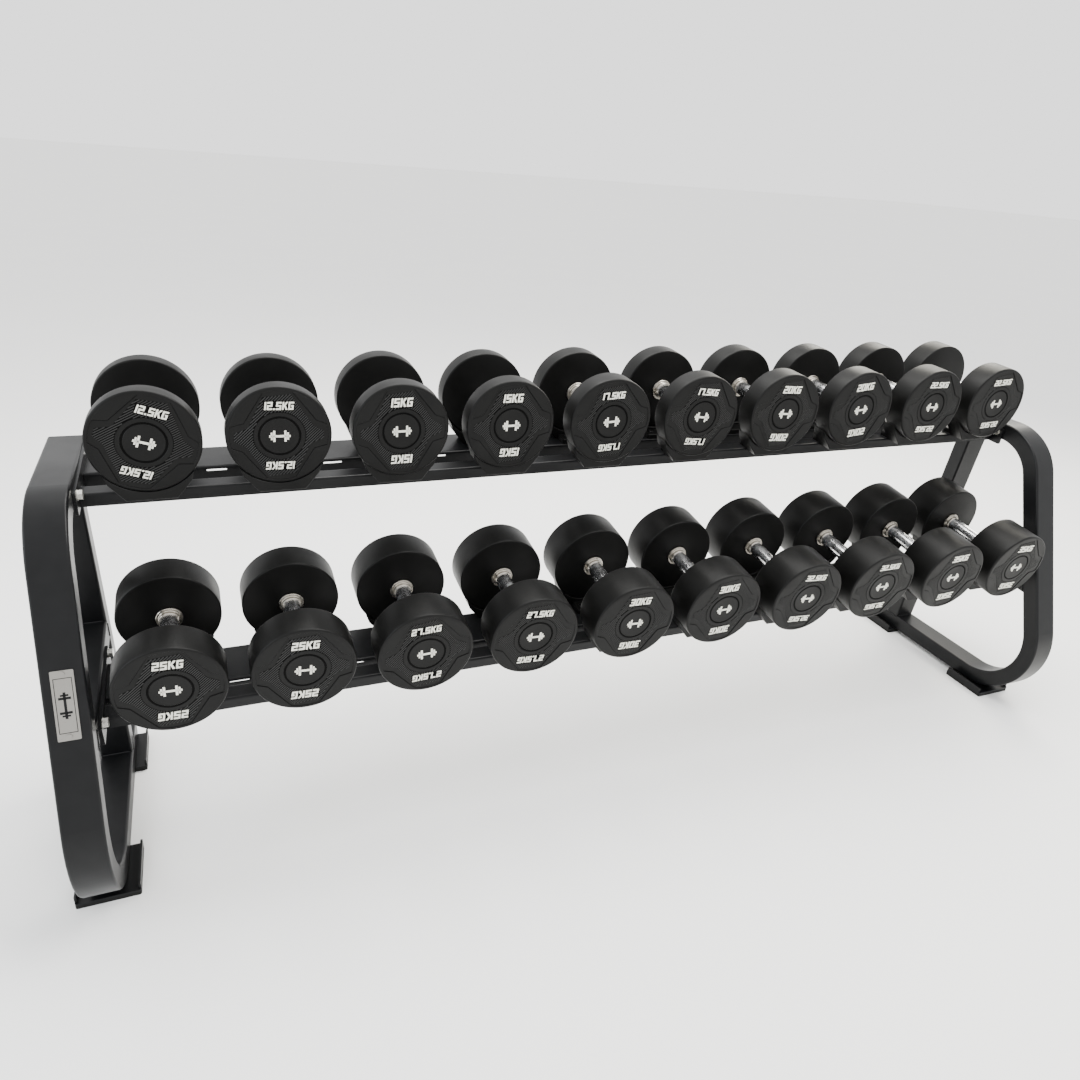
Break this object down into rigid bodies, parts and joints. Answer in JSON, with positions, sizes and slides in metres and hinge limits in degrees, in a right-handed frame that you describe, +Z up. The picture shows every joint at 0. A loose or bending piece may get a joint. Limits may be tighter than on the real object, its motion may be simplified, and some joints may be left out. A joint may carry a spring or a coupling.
{
  "type": "dumbbell rack",
  "caption": "Two-tier dumbbell rack of bent tube side frames and folded rails, with round dumbbells resting in moulded saddles, tilted down to the user.",
  "frame": {"origin": "on the floor, at the middle of the object's outline", "axes": "+X along the rack to the user's right, +Y to the back, +Z up; the user stands at -Y"},
  "size_m": [2.382, 0.565, 0.9242],
  "materials": {
    "frame_black": "satin powder coat with a fine texture",
    "head_black": "iron with a thin matte black urethane skin and raised cream numbers",
    "handle_chrome": "smooth polished chrome plate",
    "saddle_urethane": "matte moulded",
    "black_plastic": "matte",
    "foot_rubber": "matte",
    "bolt_steel": "zinc plated",
    "screw_black": "black oxide",
    "nameplate_steel": "brushed"
  },
  "bodies": {
    "rack": {"left_side_loop": "frame_black", "right_side_loop": "frame_black", "left_rear_leg": "frame_black", "right_rear_leg": "frame_black", "left_crossbar": "frame_black", "right_crossbar": "frame_black", "tube_end_caps": "black_plastic", "foot_brackets": "frame_black", "foot_pads": "foot_rubber", "top_front_rail": "frame_black", "top_rear_rail": "frame_black", "bottom_front_rail": "frame_black", "bottom_rear_rail": "frame_black", "top_end_plates": "frame_black", "bottom_end_plates": "frame_black", "shelf_bolts": "bolt_steel", "top_saddles": "saddle_urethane", "bottom_saddles": "saddle_urethane", "saddle_screws": "screw_black", "nameplate": "nameplate_steel"},
    "dumbbell_01": {"dumbbell_01_heads": "head_black", "dumbbell_01_handle": "handle_chrome"},
    "dumbbell_02": {"dumbbell_02_heads": "head_black", "dumbbell_02_handle": "handle_chrome"},
    "dumbbell_03": {"dumbbell_03_heads": "head_black", "dumbbell_03_handle": "handle_chrome"},
    "dumbbell_04": {"dumbbell_04_heads": "head_black", "dumbbell_04_handle": "handle_chrome"},
    "dumbbell_05": {"dumbbell_05_heads": "head_black", "dumbbell_05_handle": "handle_chrome"},
    "dumbbell_06": {"dumbbell_06_heads": "head_black", "dumbbell_06_handle": "handle_chrome"},
    "dumbbell_07": {"dumbbell_07_heads": "head_black", "dumbbell_07_handle": "handle_chrome"},
    "dumbbell_08": {"dumbbell_08_heads": "head_black", "dumbbell_08_handle": "handle_chrome"},
    "dumbbell_09": {"dumbbell_09_heads": "head_black", "dumbbell_09_handle": "handle_chrome"},
    "dumbbell_10": {"dumbbell_10_heads": "head_black", "dumbbell_10_handle": "handle_chrome"},
    "dumbbell_11": {"dumbbell_11_heads": "head_black", "dumbbell_11_handle": "handle_chrome"},
    "dumbbell_12": {"dumbbell_12_heads": "head_black", "dumbbell_12_handle": "handle_chrome"},
    "dumbbell_13": {"dumbbell_13_heads": "head_black", "dumbbell_13_handle": "handle_chrome"},
    "dumbbell_14": {"dumbbell_14_heads": "head_black", "dumbbell_14_handle": "handle_chrome"},
    "dumbbell_15": {"dumbbell_15_heads": "head_black", "dumbbell_15_handle": "handle_chrome"},
    "dumbbell_16": {"dumbbell_16_heads": "head_black", "dumbbell_16_handle": "handle_chrome"},
    "dumbbell_17": {"dumbbell_17_heads": "head_black", "dumbbell_17_handle": "handle_chrome"},
    "dumbbell_18": {"dumbbell_18_heads": "head_black", "dumbbell_18_handle": "handle_chrome"},
    "dumbbell_19": {"dumbbell_19_heads": "head_black", "dumbbell_19_handle": "handle_chrome"},
    "dumbbell_20": {"dumbbell_20_heads": "head_black", "dumbbell_20_handle": "handle_chrome"}
  },
  "joints": [
    {"name": "lift_01", "type": "slide", "parent": "rack", "child": "dumbbell_01", "axis": [0, 0, 1], "range_m": [0, 0.32]},
    {"name": "lift_02", "type": "slide", "parent": "rack", "child": "dumbbell_02", "axis": [0, 0, 1], "range_m": [0, 0.32]},
    {"name": "lift_03", "type": "slide", "parent": "rack", "child": "dumbbell_03", "axis": [0, 0, 1], "range_m": [0, 0.32]},
    {"name": "lift_04", "type": "slide", "parent": "rack", "child": "dumbbell_04", "axis": [0, 0, 1], "range_m": [0, 0.32]},
    {"name": "lift_05", "type": "slide", "parent": "rack", "child": "dumbbell_05", "axis": [0, 0, 1], "range_m": [0, 0.32]},
    {"name": "lift_06", "type": "slide", "parent": "rack", "child": "dumbbell_06", "axis": [0, 0, 1], "range_m": [0, 0.32]},
    {"name": "lift_07", "type": "slide", "parent": "rack", "child": "dumbbell_07", "axis": [0, 0, 1], "range_m": [0, 0.32]},
    {"name": "lift_08", "type": "slide", "parent": "rack", "child": "dumbbell_08", "axis": [0, 0, 1], "range_m": [0, 0.32]},
    {"name": "lift_09", "type": "slide", "parent": "rack", "child": "dumbbell_09", "axis": [0, 0, 1], "range_m": [0, 0.32]},
    {"name": "lift_10", "type": "slide", "parent": "rack", "child": "dumbbell_10", "axis": [0, 0, 1], "range_m": [0, 0.32]},
    {"name": "lift_11", "type": "slide", "parent": "rack", "child": "dumbbell_11", "axis": [0, -0.7507, 0.6606], "range_m": [0, 0.45]},
    {"name": "lift_12", "type": "slide", "parent": "rack", "child": "dumbbell_12", "axis": [0, -0.7507, 0.6606], "range_m": [0, 0.45]},
    {"name": "lift_13", "type": "slide", "parent": "rack", "child": "dumbbell_13", "axis": [0, -0.7507, 0.6606], "range_m": [0, 0.45]},
    {"name": "lift_14", "type": "slide", "parent": "rack", "child": "dumbbell_14", "axis": [0, -0.7507, 0.6606], "range_m": [0, 0.45]},
    {"name": "lift_15", "type": "slide", "parent": "rack", "child": "dumbbell_15", "axis": [0, -0.7507, 0.6606], "range_m": [0, 0.45]},
    {"name": "lift_16", "type": "slide", "parent": "rack", "child": "dumbbell_16", "axis": [0, -0.7507, 0.6606], "range_m": [0, 0.45]},
    {"name": "lift_17", "type": "slide", "parent": "rack", "child": "dumbbell_17", "axis": [0, -0.7507, 0.6606], "range_m": [0, 0.45]},
    {"name": "lift_18", "type": "slide", "parent": "rack", "child": "dumbbell_18", "axis": [0, -0.7507, 0.6606], "range_m": [0, 0.45]},
    {"name": "lift_19", "type": "slide", "parent": "rack", "child": "dumbbell_19", "axis": [0, -0.7507, 0.6606], "range_m": [0, 0.45]},
    {"name": "lift_20", "type": "slide", "parent": "rack", "child": "dumbbell_20", "axis": [0, -0.7507, 0.6606], "range_m": [0, 0.45]}
  ]
}
